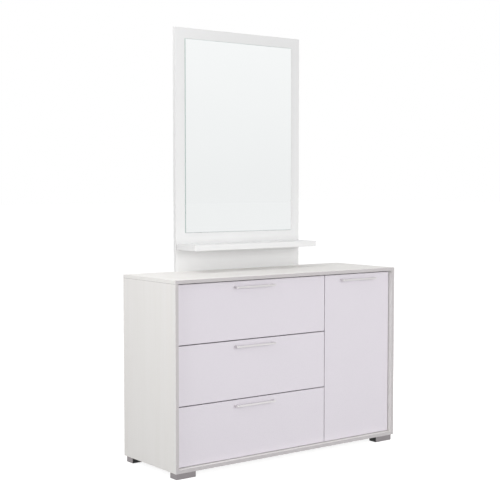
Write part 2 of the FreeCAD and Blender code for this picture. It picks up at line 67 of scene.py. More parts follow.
bl_info = {
    "name": "Dresser with mirror",
    "version": (1, 0, 0),
    "blender": (4, 5, 0),
    "location": "View3D > Sidebar > Dresser",
    "description": "Finishes, fastenings and studio for a dresser with a mirror panel",
    "category": "Object",
}

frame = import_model()
NODES = frame["nodes"]
MM = 0.001
DRAWERS = ("bottom_drawer", "middle_drawer", "top_drawer")

# The studio, in metres
FLOOR_HALF = 60.0
FLOOR_DROP = 0.0005
FLOOR_BOUNCE = 0.45
# What gloss and glass see: a studio white overhead and a little dimmer at the horizon,
# up to a rise above which it is white, and a floor whose own white is lower too
HORIZON_WHITE = 0.93
HORIZON_RISE = 0.12
FLOOR_IN_GLOSS = 0.7
# Each lamp: where it hangs, what it looks at, and its size
LAMPS = {
    "left": ((-2.3, -0.5, 1.25), (-0.6, 0.0, 0.5), 1.0),
    "top": ((-1.2, -0.05, 2.6), (-0.6, 0.0, 0.8), 0.8),
    "right": ((2.3, 0.5, 0.7), (0.6, 0.0, 0.5), 1.0),
    "front": ((0.6, -3.6, 1.25), (0.0, 0.0, 0.8), 2.0),
    "back": ((0.0, 3.6, 0.9), (0.0, 0.0, 0.8), 2.0),
}
# The lamp before the fronts would fill the mirror, so reflections leave it out
UNREFLECTED_LAMP = "front"

# Where the photograph was taken from, and how wide it looks
CAMERA_PLACE = (-2.9836, -3.8404, 1.1692)
CAMERA_DOWN = 3.274
CAMERA_TURN = -37.112
CAMERA_LENS = 79.63
CAMERA_SENSOR = 36.0

# Spans of a pattern's values: all of them, those of most of a noise, and those from the
# middle of a cell to its rim
ALL_VALUES = (0.0, 1.0)
NOISE_VALUES = (0.3, 0.7)
CELL_VALUES = (0.0, 0.8)

# How far a face's normal has to lie along an axis to count as facing that way, and where
# it lies on an eased edge, give or take
FACING_SHARE = 0.9
EASED_SHARE = 0.7
EASED_SPREAD = 0.2

# How finely the turned pieces are drawn
SCREW_SIDES = 12
THREAD_ROWS = 4
FLUTES = 10
PAD_RINGS = 5
BALL_FINENESS = 2
SMOOTH_LIMIT = 40.0
# How near, in millimetres, a corner lies to the station that it belongs to
STATION_REACH = 0.02

# Profiles of turned heads, from the outer end: a place as a share of the height, and a
# radius as a share of the widest
SCREW_HEAD = ((0.0, 0.7), (0.12, 0.88), (0.45, 1.0), (1.0, 1.0))
NAIL_HEAD = ((0.0, 0.85), (0.3, 1.0), (1.0, 1.0))
BOLT_NECK = ((0.0, 0.8), (0.036, 1.0), (0.084, 1.0), (0.12, 0.6), (0.45, 0.6), (0.45, 1.0))
CAM_DISC = ((0.0, 0.86), (0.06, 1.0), (0.24, 1.0), (0.24, 0.86), (0.76, 0.86), (0.76, 1.0),
            (0.88, 1.0), (1.0, 0.9))
# A cam's bolt is longer than this many of its radii, and a cam's disc is shorter
BOLT_SLENDERNESS = 4.0
# Cuts and points, as shares of the shank's radius, and the lengths of points in radii
THREAD_DEPTH = 0.28
FLUTE_DEPTH = 0.12
DOWEL_CHAMFER = 0.25
SCREW_POINT, SCREW_POINT_LENGTH = 0.12, 2.0
NAIL_POINT, NAIL_POINT_LENGTH = 0.1, 3.0
BOLT_END = 0.7
# Cross slots: their reach and half width as shares of the radius, their depth as a share
# of the head's height, and how far they narrow to their floor
SCREW_SLOT = (0.5, 0.1, 0.6)
CAM_SLOT = (0.6, 0.12, 0.3)
SLOT_TAPER = 0.55

# Rows of balls in a rail, in millimetres: how far a row runs from the middle member's web
# and from its middle height, the balls' radius, and at which end its cage is
BALL_ROWS = ((3.1, 19.4, 1.75, "rear"), (5.15, 15.25, 1.35, "front"))
CAGE_END = 8.0
CAGE_LENGTH = 140.0


# Small helpers


def linear(hex_colour):
    """An sRGB hex value as linear red, green and blue."""
    channels = [int(hex_colour[k:k + 2], 16) / 255 for k in (0, 2, 4)]
    return tuple(c / 12.92 if c <= 0.04045 else ((c + 0.055) / 1.055) ** 2.4 for c in channels)


def toned(colour, share):
    """A colour whose channels are brought to a share of themselves."""
    return [share * channel for channel in colour]


def feed(tree, node, inputs):
    """Gives inputs of a node, found by identifier, name or place, a value or another's output."""
    for key, value in inputs.items():
        socket = next((s for s in node.inputs if s.identifier == key), None) or node.inputs[key]
        if isinstance(value, bpy.types.NodeSocket):
            tree.links.new(value, socket)
        else:
            socket.default_value = value


def add(tree, kind, inputs=(), **options):
    """Adds a node with its options and inputs, and returns its first output in use."""
    node = tree.nodes.new(kind)
    for name, value in options.items():
        setattr(node, name, value)
    feed(tree, node, dict(inputs))
    return next((socket for socket in node.outputs if socket.enabled), None)


def new_finish(name, **values):
    """A new material whose Principled shader holds the given constant values.

    Where a pattern varies one of them later, it is the typical value that a viewer
    without these nodes shows.
    """
    material = bpy.data.materials.new(name)
    material.use_nodes = True
    shader = material.node_tree.nodes["Principled BSDF"]
    feed(material.node_tree, shader, {key.replace("_", " "): value for key, value in values.items()})
    return material, material.node_tree, shader


def stretched(tree, *sizes):
    """Object coordinates counted in a pattern's own sizes along X, Y and Z."""
    place = tree.nodes.new("ShaderNodeTexCoord").outputs["Object"]
    return add(tree, "ShaderNodeMapping", {"Vector": place, "Scale": [1 / size for size in sizes]})


def along(axis, length, width):
    """Pattern sizes that are long along one axis and narrow across it."""
    return [length if name == axis else width for name in "XYZ"]


def normal_part(tree, axis):
    """How far a piece's surface looks along one of its axes, from -1 to 1."""
    part = tree.nodes.new("ShaderNodeSeparateXYZ")
    feed(tree, part, {"Vector": tree.nodes.new("ShaderNodeTexCoord").outputs["Normal"]})
    return part.outputs[axis]


def facing(tree, axis, sign):
    """1 on the faces of a piece that look along one of its axes, 0 elsewhere."""
    aimed = add(tree, "ShaderNodeMath", {0: normal_part(tree, axis), 1: sign},
                operation="MULTIPLY")
    return add(tree, "ShaderNodeMath", {0: aimed, 1: FACING_SHARE}, operation="GREATER_THAN")


def eased(tree, sign):
    """1 on the eased edges of a piece that look half up (sign 1) or half down (sign -1)."""
    return add(tree, "ShaderNodeMath", {
        0: normal_part(tree, "Z"), 1: sign * EASED_SHARE, 2: EASED_SPREAD,
    }, operation="COMPARE")


def layered(tree, ground, *layers):
    """A ground colour with others laid over it in turn, each as far as its own value says."""
    for value, colour in layers:
        ends = {"Factor_Float": value}
        for key, end in (("A_Color", ground), ("B_Color", colour)):
            ends[key] = end if isinstance(end, bpy.types.NodeSocket) else (*end, 1.0)
        ground = add(tree, "ShaderNodeMix", ends, data_type="RGBA")
    return ground


def vary(tree, shader, pattern, span, colours=None, roughness=None, relief=None):
    """Lets a pattern vary a finish, over a span of the pattern's values.

    Colours and roughness are given as the two ends that the span leads between, and
    relief as its depth and strength. What isn't given stays as it is.
    """
    limits = {"Value": pattern, "From Min": span[0], "From Max": span[1]}
    varied = {}
    if colours:
        share = add(tree, "ShaderNodeMapRange", limits)
        varied["Base Color"] = layered(tree, colours[0], (share, colours[1]))
    if roughness:
        ends = {"To Min": roughness[0], "To Max": roughness[1]}
        varied["Roughness"] = add(tree, "ShaderNodeMapRange", {**limits, **ends})
    if relief:
        rise = {"Height": pattern, "Distance": relief[0], "Strength": relief[1]}
        varied["Normal"] = add(tree, "ShaderNodeBump", rise)
    feed(tree, shader, varied)


def dress(names, material):
    """Gives CAD nodes a finish."""
    for name in names:
        for slot in NODES[name].material_slots:
            slot.material = material


def chosen(context):
    """The colours and sizes that the user sees in the panel."""
    return context.scene.dresser_colours, context.scene.dresser_sizes


def of_drawers(*pieces):
    """The names of like pieces of all drawers."""
    return [drawer + "_" + piece for drawer in DRAWERS for piece in pieces]


# What a user may change


def colour_setting(name, description, hex_colour):
    """A colour property with its default given as sRGB hex."""
    return FloatVectorProperty(name=name, description=description, subtype="COLOR", size=3,
                               min=0.0, max=1.0, default=linear(hex_colour))


def length_setting(name, description, millimetres):
    """A length property with its default given in millimetres."""
    return FloatProperty(name=name, description=description, subtype="DISTANCE", unit="LENGTH",
                         min=0.0, default=millimetres * MM)


def lamp_setting(name, description, watts):
    """A lamp's power."""
    return FloatProperty(name=name, description=description, subtype="POWER", unit="POWER",
                         min=0.0, default=watts)


class DresserColours(bpy.types.PropertyGroup):
    """The colours of the dresser's finishes."""

    grain_light: colour_setting("Grain, light", "Ground of the grained laminate", "EDEBE9")
    grain_dark: colour_setting("Grain, dark", "Streaks of the grained laminate", "EAE8E5")
    # The edge band's colour is partly the band's own and partly painted shade of the front edges
    edge_band_and_shade: colour_setting("Edge band", "Plastic band on the front edges", "C1BDBE")
    # Painted shade: this dark colour on the eased edges stands in for the shadow in the joint where
    # boards meet
    painted_joint_shade: colour_setting("Joint line", "Shade in the line where boards meet", "A8A4A2")
    lacquer: colour_setting("Front lacquer", "Lacquer of drawer fronts and door", "DBD6DD")
    white_laminate: colour_setting("White laminate", "Mirror panel and its shelf", "E5E5E5")
    box_foil: colour_setting("Drawer foil", "Foil on the drawer boxes", "E6E4E0")
    board_white: colour_setting("Hardboard, face", "Painted side of thin boards", "E9E7E3")
    board_brown: colour_setting("Hardboard, back", "Bare side of thin boards", "A5866A")
    silver: colour_setting("Mirror silver", "Silvered glass", "F6F8F8")
    glass_edge: colour_setting("Glass edge", "Ground edge of the mirror glass", "9FB0AB")
    handle: colour_setting("Handles", "Satin anodised aluminium", "E5E2E3")
    foot: colour_setting("Feet", "Moulded plastic block", "1F1F20")
    foot_trim: colour_setting("Foot trim", "Brushed anodised angle", "979294")
    zinc: colour_setting("Zinc plate", "Rails and screws", "C3C7CA")
    nickel: colour_setting("Nickel plate", "Hinges and shelf pins", "CFC9C0")
    casting: colour_setting("Zinc casting", "Cam fittings", "B4B5B6")
    strap: colour_setting("Straps", "Powder coat", "CFCFCE")
    beech: colour_setting("Beech", "Dowels", "D3AA7D")
    bumper: colour_setting("Bumpers", "Soft clear pads", "E4E8E6")


class DresserSizes(bpy.types.PropertyGroup):
    """The sizes of the dresser's patterns and small details."""

    grain_width: length_setting("Grain width", "Width of a streak in the laminate", 3.0)
    grain_length: length_setting("Grain length", "Length of a streak in the laminate", 260.0)
    pore_depth: length_setting("Pore depth", "Depth of the pressed pores", 0.05)
    brush_width: length_setting("Brush width", "Width of a brushed line", 0.4)
    brush_length: length_setting("Brush length", "Length of a brushed line", 50.0)
    ripple: length_setting("Ripple", "Width of a ripple in lacquer and powder coat", 2.5)
    spark: length_setting("Spark texture", "Grain of moulded plastic and cast zinc", 0.8)
    fibre: length_setting("Fibre", "Width of a fibre of bare hardboard", 1.5)
    spangle: length_setting("Spangle", "Clouds in zinc and nickel plate", 6.0)
    thread_pitch: length_setting("Thread pitch", "From turn to turn of a screw's thread", 1.6)
    ball_pitch: length_setting("Ball pitch", "From ball to ball in a rail", 14.0)


class DresserLight(bpy.types.PropertyGroup):
    """How bright the studio's lamps and surroundings are."""

    world: FloatProperty(name="World", description="Light from all around, where 1 is white",
                         min=0.0, default=0.6)
    left: lamp_setting("Left lamp", "Power of the lamp beside the left end", 13.2)
    top: lamp_setting("Top lamp", "Power of the lamp over the top's left end", 10.0)
    right: lamp_setting("Right lamp", "Power of the lamp beside the right end", 10.0)
    front: lamp_setting("Front lamp", "Power of the lamp before the fronts", 66.0)
    back: lamp_setting("Back lamp", "Power of the lamp behind the dresser", 40.0)
    floor_own: FloatProperty(name="Floor, own white", description="White the floor shows unlit",
                             min=0.0, max=1.0, default=0.87)
    floor_lit: FloatProperty(name="Floor, lit white", description="White that light adds to it",
                             min=0.0, max=1.0, default=0.4)


# Finishes


def grained_melamine(look, size, axis, meeting):
    """Chipboard faced with a printed melamine paper, its front edges banded in ABS.

    The print shows as faint long streaks, the pressed pores soften the shine, and the
    extruded edge band is plain and darker, partly its own colour and partly painted shade.
    Where boards meet, their eased edges are painted dark as the shade in the joint between
    them: upper edges for meeting 1, lower edges for meeting -1.
    """
    material, tree, shader = new_finish("grained_melamine_" + axis, Roughness=0.6)
    streaks = add(tree, "ShaderNodeTexNoise", {
        "Vector": stretched(tree, *along(axis, size.grain_length, size.grain_width)),
        "Scale": 1.0, "Detail": 3.0, "Roughness": 0.55,
    })
    bands = add(tree, "ShaderNodeTexNoise", {
        "Vector": stretched(tree, *along(axis, 4 * size.grain_length, 9 * size.grain_width)),
        "Scale": 1.0, "Detail": 2.0,
    })
    both = add(tree, "ShaderNodeMath", {0: streaks, 1: bands}, operation="ADD")
    grain = add(tree, "ShaderNodeMapRange", {"Value": both, "From Min": 0.75, "From Max": 1.2})
    # Painted shade: the front edges are darkened beyond the band's own colour, and the eased edges
    # where boards meet are painted dark for the joint's shadow
    feed(tree, shader, {
        "Base Color": layered(tree, look.grain_dark, (grain, look.grain_light),
                              (facing(tree, "Y", -1), look.edge_band_and_shade),
                              (eased(tree, meeting), look.painted_joint_shade)),
    })
    vary(tree, shader, streaks, ALL_VALUES, relief=(size.pore_depth, 0.4))
    return material


def sprayed_lacquer(look, size):
    """Medium-density board sprayed with a satin polyurethane lacquer.

    The sprayed film lies in faint ripples, which blur its soft reflection.
    """
    material, tree, shader = new_finish("sprayed_satin_lacquer", Roughness=0.3, Coat_Weight=0.12,
                                        Coat_Roughness=0.12)
    ripples = add(tree, "ShaderNodeTexNoise", {
        "Vector": stretched(tree, *[size.ripple] * 3), "Scale": 1.0, "Detail": 0.0,
    })
    clouds = add(tree, "ShaderNodeTexNoise", {
        "Vector": stretched(tree, *[60 * size.ripple] * 3), "Scale": 1.0, "Detail": 2.0,
    })
    vary(tree, shader, clouds, ALL_VALUES, colours=(toned(look.lacquer, 0.985), look.lacquer))
    vary(tree, shader, ripples, NOISE_VALUES, roughness=(0.27, 0.35), relief=(0.02 * MM, 0.5))
    return material


def plain_melamine(look, size):
    """Chipboard faced with plain white melamine, pressed with a fine pearl.

    The pearl is too fine to show at this size, so it is drawn about four times as coarse.
    """
    material, tree, shader = new_finish("pearl_white_melamine", Roughness=0.4)
    pearl = add(tree, "ShaderNodeTexVoronoi", {
        "Vector": stretched(tree, *[0.8 * size.ripple] * 3), "Scale": 1.0,
    })
    clouds = add(tree, "ShaderNodeTexNoise", {
        "Vector": stretched(tree, *[50 * size.ripple] * 3), "Scale": 1.0, "Detail": 2.0,
    })
    white = look.white_laminate
    vary(tree, shader, clouds, ALL_VALUES, colours=(toned(white, 0.985), white))
    vary(tree, shader, pearl, CELL_VALUES, roughness=(0.36, 0.46), relief=(0.02 * MM, 0.5))
    return material


def paper_foil(look, size):
    """Particle board wrapped in a lacquered paper foil: matt, with the faintest grain."""
    material, tree, shader = new_finish("wrapped_paper_foil", Roughness=0.55)
    grain = add(tree, "ShaderNodeTexNoise", {
        "Vector": stretched(tree, *along("Y", size.grain_length, size.grain_width)),
        "Scale": 1.0, "Detail": 6.0, "Roughness": 0.7,
    })
    vary(tree, shader, grain, NOISE_VALUES, colours=(toned(look.box_foil, 0.95), look.box_foil),
         relief=(size.pore_depth, 0.1))
    return material


def hardboard(look, size, axis, sign):
    """Pressed wood fibre, painted on one side and left bare on the side that looks along axis.

    The bare side shows its short dark fibres, the painted one is even and matt. Real
    fibres are a few tenths of a millimetre wide, so they are drawn coarser to show.
    """
    material, tree, shader = new_finish("pressed_hardboard_" + axis, Roughness=0.6)
    fibres = add(tree, "ShaderNodeTexNoise", {
        "Vector": stretched(tree, *along("X", 6 * size.fibre, size.fibre)), "Scale": 1.0,
        "Detail": 5.0, "Roughness": 0.65,
    })
    bare_side = facing(tree, axis, sign)
    shade = add(tree, "ShaderNodeMapRange", {
        "Value": fibres, "From Min": NOISE_VALUES[0], "From Max": NOISE_VALUES[1],
    })
    bare = layered(tree, toned(look.board_brown, 0.6), (shade, look.board_brown))
    painted = layered(tree, toned(look.board_white, 0.97), (shade, look.board_white))
    vary(tree, shader, bare_side, ALL_VALUES, colours=(painted, bare), roughness=(0.5, 0.8))
    vary(tree, shader, fibres, NOISE_VALUES, relief=(0.05 * MM, 0.5))
    return material


def silvered_glass(look, size):
    """Float glass silvered at its back, with a ground bevel.

    The flat face mirrors the studio with hardly a ripple, and the ground bevel scatters
    light in a grey green.
    """
    material, tree, shader = new_finish("silvered_float_glass", Roughness=0.02)
    face = facing(tree, "Y", -1)
    waves = add(tree, "ShaderNodeTexNoise", {
        "Vector": stretched(tree, *[80 * size.ripple] * 3), "Scale": 1.0, "Detail": 1.0,
    })
    silver = layered(tree, toned(look.silver, 0.985), (waves, look.silver))
    feed(tree, shader, {"Metallic": face})
    vary(tree, shader, face, ALL_VALUES, colours=(look.glass_edge, silver), roughness=(0.35, 0.015))
    vary(tree, shader, waves, ALL_VALUES, relief=(0.01 * MM, 0.2))
    return material


def brushed_aluminium(name, colour, size, axis):
    """Aluminium brushed along its length and anodised: fine lines that stretch highlights.

    Real lines are under a tenth of a millimetre wide, so they are drawn coarser to show.
    """
    material, tree, shader = new_finish(name, Metallic=1.0, Roughness=0.38, Anisotropic=0.4)
    lines = add(tree, "ShaderNodeTexNoise", {
        "Vector": stretched(tree, *along(axis, size.brush_length, size.brush_width)),
        "Scale": 1.0, "Detail": 4.0, "Roughness": 0.6,
    })
    vary(tree, shader, lines, NOISE_VALUES, colours=(toned(colour, 0.86), colour),
         roughness=(0.32, 0.46), relief=(0.01 * MM, 0.5))
    return material


def moulded_abs(look, size):
    """Black ABS moulded in a spark-eroded tool: a fine matt grain.

    The real grain is some tenths of a millimetre, and is drawn coarser to show.
    """
    material, tree, shader = new_finish("moulded_abs", Roughness=0.5)
    grain = add(tree, "ShaderNodeTexVoronoi", {
        "Vector": stretched(tree, *[size.spark] * 3), "Scale": 1.0,
    })
    vary(tree, shader, grain, ALL_VALUES, colours=(look.foot, toned(look.foot, 1.35)))
    vary(tree, shader, grain, CELL_VALUES, roughness=(0.42, 0.6), relief=(0.05 * MM, 0.6))
    return material


def plated_steel(name, colour, size, roughness):
    """Pressed steel with a bright electroplate, whose clouds and rubbed spots vary the shine."""
    material, tree, shader = new_finish(name, Metallic=1.0, Roughness=roughness)
    clouds = add(tree, "ShaderNodeTexNoise", {
        "Vector": stretched(tree, *[size.spangle] * 3), "Scale": 1.0, "Detail": 4.0,
        "Roughness": 0.6,
    })
    vary(tree, shader, clouds, NOISE_VALUES, colours=(toned(colour, 0.84), colour),
         roughness=(0.8 * roughness, 1.3 * roughness))
    return material


def cast_zinc(look, size):
    """Die-cast zinc alloy: grey, with the slightly pitted skin of the mould.

    Its pits are drawn as coarse as the grain of moulded plastic, coarser than real ones.
    """
    material, tree, shader = new_finish("die_cast_zinc", Metallic=1.0, Roughness=0.45)
    skin = add(tree, "ShaderNodeTexNoise", {
        "Vector": stretched(tree, *[size.spark] * 3), "Scale": 1.0, "Detail": 4.0,
    })
    vary(tree, shader, skin, ALL_VALUES, colours=(toned(look.casting, 0.75), look.casting))
    vary(tree, shader, skin, NOISE_VALUES, roughness=(0.38, 0.55), relief=(0.06 * MM, 0.6))
    return material


def powder_coat(look, size):
    """Flat steel with a baked powder coat: a low orange peel under a half gloss."""
    material, tree, shader = new_finish("baked_powder_coat", Roughness=0.38)
    peel = add(tree, "ShaderNodeTexNoise", {
        "Vector": stretched(tree, *[0.7 * size.ripple] * 3), "Scale": 1.0, "Detail": 2.0,
    })
    vary(tree, shader, peel, ALL_VALUES, colours=(toned(look.strap, 0.95), look.strap))
    vary(tree, shader, peel, NOISE_VALUES, roughness=(0.32, 0.45), relief=(0.06 * MM, 0.7))
    return material


def turned_beech(look, size):
    """Beech turned to a rod: pale, with short dark flecks along the grain."""
    material, tree, shader = new_finish("turned_beech", Roughness=0.6)
    flecks = add(tree, "ShaderNodeTexNoise", {
        "Vector": stretched(tree, *along("X", 5 * size.fibre, 0.5 * size.fibre)),
        "Scale": 1.0, "Detail": 4.0, "Roughness": 0.6,
    })
    vary(tree, shader, flecks, (0.35, 0.65), colours=(toned(look.beech, 0.72), look.beech),
         relief=(0.05 * MM, 0.5))
    return material


def clear_pad(look, size):
    """Cast soft polyurethane: milky, half clear, a little waxy."""
    material, tree, shader = new_finish("cast_clear_polyurethane", Roughness=0.35, IOR=1.5,
                                        Transmission_Weight=0.4)
    haze = add(tree, "ShaderNodeTexNoise", {
        "Vector": stretched(tree, *[size.ripple] * 3), "Scale": 1.0, "Detail": 2.0,
    })
    vary(tree, shader, haze, ALL_VALUES, colours=(toned(look.bumper, 0.92), look.bumper))
    vary(tree, shader, haze, NOISE_VALUES, roughness=(0.3, 0.42))
    return material


# Turned pieces: screws, nails, dowels, cams and pads, made round from the CAD's plain solids


def rounded_mm(length):
    """A length in millimetres, to a hundredth."""
    return round(length / MM, 2)


def loose_solids(name):
    """The corner points of each solid of a CAD node, whose faces lie solid by solid.

    A solid ends with the face that closes its last open edge, so two solids that touch
    in the same corners stay apart.
    """
    data = NODES[name].data
    spots = [tuple(rounded_mm(c) for c in vert.co) for vert in data.vertices]
    open_edges, corners, solids = set(), set(), []
    for face in data.polygons:
        loop = [spots[k] for k in face.vertices]
        corners.update(loop)
        for k in range(len(loop)):
            open_edges ^= {frozenset((loop[k - 1], loop[k]))}
        if not open_edges:
            solids.append([Vector(spot) * MM for spot in sorted(corners)])
            corners = set()
    return solids


def least_end(points, axis):
    """How many corners lie in the poorer of a solid's two end planes across an axis."""
    places = [rounded_mm(point[axis]) for point in points]
    return min(places.count(min(places)), places.count(max(places)))


class Spindle:
    """A turned solid's axis, its place from the wide end, and its stations and radii."""

    def __init__(self, points):
        axis = max(range(3), key=lambda way: least_end(points, way))
        centre = Vector([(min(values) + max(values)) / 2 for values in zip(*points)])
        stations = sorted({rounded_mm(point[axis]) for point in points})
        radii = []
        for station in stations:
            near = [point - centre for point in points
                    if abs(point[axis] / MM - station) < STATION_REACH]
            for reach in near:
                reach[axis] = 0.0
            radii.append(max(reach.length for reach in near))
        if radii[0] < radii[-1]:
            stations.reverse()
            radii.reverse()
        direction = Vector((0.0, 0.0, 0.0))
        direction[axis] = 1.0 if stations[-1] > stations[0] else -1.0
        centre[axis] = stations[0] * MM
        turn = direction.to_track_quat("Z", "Y").to_matrix().to_4x4()
        self.place = Matrix.Translation(centre) @ turn
        self.stations = [abs(station - stations[0]) * MM for station in stations]
        self.length = self.stations[-1]
        self.wide, self.narrow = radii[0], radii[-1]


def thread(share, turns):
    """How far below the crest a screw's thread lies at a share of the round."""
    return abs(2 * ((turns - share) % 1.0) - 1)


def flutes(share, turns):
    """How far below the crest a dowel's flutes lie at a share of the round."""
    return abs(2 * ((FLUTES * share) % 1.0) - 1)


def profile(shares, length, radius):
    """The uncut rows that a profile given in shares has on a length and a radius."""
    return [(place * length, reach * radius, 0.0) for place, reach in shares]


def threaded(start, end, radius, pitch):
    """The rows of a thread from one distance to another."""
    step = pitch / THREAD_ROWS
    count = int((end - start) / step)
    return [(start + step * (k + 1), radius, THREAD_DEPTH * radius) for k in range(count)]


def skin_rings(mesh, place, rows, sides, cut=thread, pitch=1.0):
    """Adds rings (distance, radius, cut depth) round the place's axis, joins them, returns them."""
    rings = []
    for distance, radius, depth in rows:
        ring = []
        for k in range(sides):
            angle = 2 * math.pi * k / sides
            reach = radius - depth * cut(k / sides, distance / pitch)
            corner = Vector((reach * math.cos(angle), reach * math.sin(angle), distance))
            ring.append(mesh.verts.new(place @ corner))
        rings.append(ring)
    for low, high in zip(rings, rings[1:]):
        for k in range(sides):
            after = (k + 1) % sides
            mesh.faces.new((low[k], low[after], high[after], high[k]))
    return rings


def close_ends(mesh, rings):
    """Closes a turned skin with a flat face at each end."""
    mesh.faces.new(rings[0])
    mesh.faces.new(rings[-1])


def cross_slot(mesh, place, rim, shares, radius, height):
    """Closes a ring with a flat face that has a tapered cross-shaped slot in it."""
    reach, half, depth = shares[0] * radius, shares[1] * radius, shares[2] * height
    quarter = [(reach, -half), (reach, half), (half, half)]
    corners = [Matrix.Rotation(math.pi / 2 * k, 2) @ Vector(c) for k in range(4) for c in quarter]
    mouth = [mesh.verts.new(place @ Vector((*c, 0.0))) for c in corners]
    floor = [mesh.verts.new(place @ Vector((*(c * SLOT_TAPER), depth))) for c in corners]
    loops = [[vert.co for vert in rim], [vert.co for vert in mouth]]
    flat = rim + mouth
    for triangle in tessellate_polygon(loops):
        mesh.faces.new([flat[k] for k in triangle])
    for k in range(len(mouth)):
        after = (k + 1) % len(mouth)
        mesh.faces.new((mouth[k], mouth[after], floor[after], floor[k]))
    mesh.faces.new(floor)


def add_screw(mesh, spindle, pitch):
    """A round-headed screw with a cross slot, a thread and a point."""
    head, length = spindle.stations[1], spindle.length
    wide, core = spindle.wide, spindle.narrow
    tip = max(length - SCREW_POINT_LENGTH * core, head)
    rows = profile(SCREW_HEAD, head, wide) + [(head, core, 0.0)]
    rows += threaded(head, tip, core, pitch) + [(length, SCREW_POINT * core, 0.0)]
    rings = skin_rings(mesh, spindle.place, rows, SCREW_SIDES, thread, pitch)
    cross_slot(mesh, spindle.place, rings[0], SCREW_SLOT, wide, head)
    mesh.faces.new(rings[-1])


def add_nail(mesh, spindle, pitch):
    """A nail with a thin flat head, a plain shank and a point."""
    head, length, core = spindle.stations[1], spindle.length, spindle.narrow
    rows = profile(NAIL_HEAD, head, spindle.wide) + [(head, core, 0.0)]
    rows += [(length - NAIL_POINT_LENGTH * core, core, 0.0), (length, NAIL_POINT * core, 0.0)]
    close_ends(mesh, skin_rings(mesh, spindle.place, rows, SCREW_SIDES))


def add_dowel(mesh, spindle, pitch):
    """A fluted rod with chamfered ends."""
    length, wide = spindle.length, spindle.wide
    chamfer, flute = DOWEL_CHAMFER * wide, FLUTE_DEPTH * wide
    rows = [(0.0, wide - chamfer, 0.0), (chamfer, wide, flute), (length - chamfer, wide, flute),
            (length, wide - chamfer, 0.0)]
    close_ends(mesh, skin_rings(mesh, spindle.place, rows, 4 * FLUTES, flutes))


def add_cam_part(mesh, spindle, pitch):
    """A cam disc with a cross slot and a recessed waist, or the threaded bolt that it draws."""
    length, wide = spindle.length, spindle.wide
    if length > BOLT_SLENDERNESS * wide:
        rows = profile(BOLT_NECK, length, wide)
        rows += threaded(rows[-1][0], length, wide, pitch)[:-1] + [(length, BOLT_END * wide, 0.0)]
        close_ends(mesh, skin_rings(mesh, spindle.place, rows, SCREW_SIDES, thread, pitch))
    else:
        rows = profile(CAM_DISC, length, wide)
        rings = skin_rings(mesh, spindle.place, rows, 2 * SCREW_SIDES)
        cross_slot(mesh, spindle.place, rings[0], CAM_SLOT, wide, length)
        mesh.faces.new(rings[-1])


def add_pad(mesh, spindle, pitch):
    """A domed soft pad."""
    length, wide = spindle.length, spindle.wide
    arcs = [math.pi / 2 * k / PAD_RINGS for k in range(1, PAD_RINGS + 1)]
    rows = [(length * (1 - math.cos(a)), wide * math.sin(a), 0.0) for a in arcs]
    close_ends(mesh, skin_rings(mesh, spindle.place, rows, 2 * SCREW_SIDES))


def new_piece(name, mesh, material, body):
    """Turns a bmesh into a piece that rides on a body, smooth but for its sharp edges."""
    bmesh.ops.recalc_face_normals(mesh, faces=mesh.faces)
    data = bpy.data.meshes.new(name)
    mesh.to_mesh(data)
    mesh.free()
    data.materials.append(material)
    data.shade_smooth()
    data.set_sharp_from_angle(angle=math.radians(SMOOTH_LIMIT))
    piece = bpy.data.objects.new(name, data)
    bpy.context.scene.collection.objects.link(piece)
    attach(piece, body)
    return piece


def turn_again(names, maker, material, pitch):
    """Replaces CAD nodes by pieces in which each solid is made again, round and in full.

    Every maker gets the pitch of the threads, and those that cut none leave it.
    """
    for name in names:
        mesh = bmesh.new()
        for points in loose_solids(name):
            maker(mesh, Spindle(points), pitch)
        piece = new_piece(name + "_turned", mesh, material, NODES[name]["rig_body"])
        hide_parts(name)


def add_balls(drawer, material, pitch):
    """Puts rows of balls into the cages of one drawer's pair of rails."""
    low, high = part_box(drawer + "_middle_rails")
    middle = (low[2] + high[2]) / 2
    cage = CAGE_LENGTH * MM
    count = int(cage / pitch)
    spare = (cage - (count - 1) * pitch) / 2
    mesh = bmesh.new()
    for out, rise, radius, end in BALL_ROWS:
        first = low[1] + CAGE_END * MM if end == "front" else high[1] - CAGE_END * MM - cage
        for x in (low[0] + out * MM, high[0] - out * MM):
            for z in (middle - rise * MM, middle + rise * MM):
                for k in range(count):
                    spot = Matrix.Translation((x, first + spare + k * pitch, z))
                    bmesh.ops.create_icosphere(mesh, subdivisions=BALL_FINENESS,
                                               radius=radius * MM, matrix=spot)
    new_piece(drawer + "_rail_balls", mesh, material, drawer + "_rails")


# Studio


def by_ray(tree, camera, gloss, light):
    """One value for rays of the camera, one for gloss and clear glass, one that carries light."""
    path = tree.nodes.new("ShaderNodeLightPath").outputs
    clear = add(tree, "ShaderNodeMath", {
        0: path["Is Glossy Ray"], 1: path["Is Transmission Ray"],
    }, operation="MAXIMUM")
    other = add(tree, "ShaderNodeMapRange", {"Value": clear, "To Min": light, "To Max": gloss})
    return add(tree, "ShaderNodeMapRange", {
        "Value": path["Is Camera Ray"], "To Min": other, "To Max": camera,
    })


def studio_world(level):
    """A world that lights at a level, and is plain white to the camera and nearly so to gloss."""
    world = bpy.data.worlds.new("white_studio")
    world.use_nodes = True
    tree = world.node_tree
    way = tree.nodes.new("ShaderNodeSeparateXYZ")
    feed(tree, way, {"Vector": tree.nodes.new("ShaderNodeTexCoord").outputs["Generated"]})
    backdrop = add(tree, "ShaderNodeMapRange", {
        "Value": way.outputs["Z"], "From Min": 0.0, "From Max": HORIZON_RISE,
        "To Min": HORIZON_WHITE, "To Max": 1.0,
    })
    feed(tree, tree.nodes["Background"], {
        "Color": (1.0, 1.0, 1.0, 1.0), "Strength": by_ray(tree, 1.0, backdrop, level),
    })
    return world


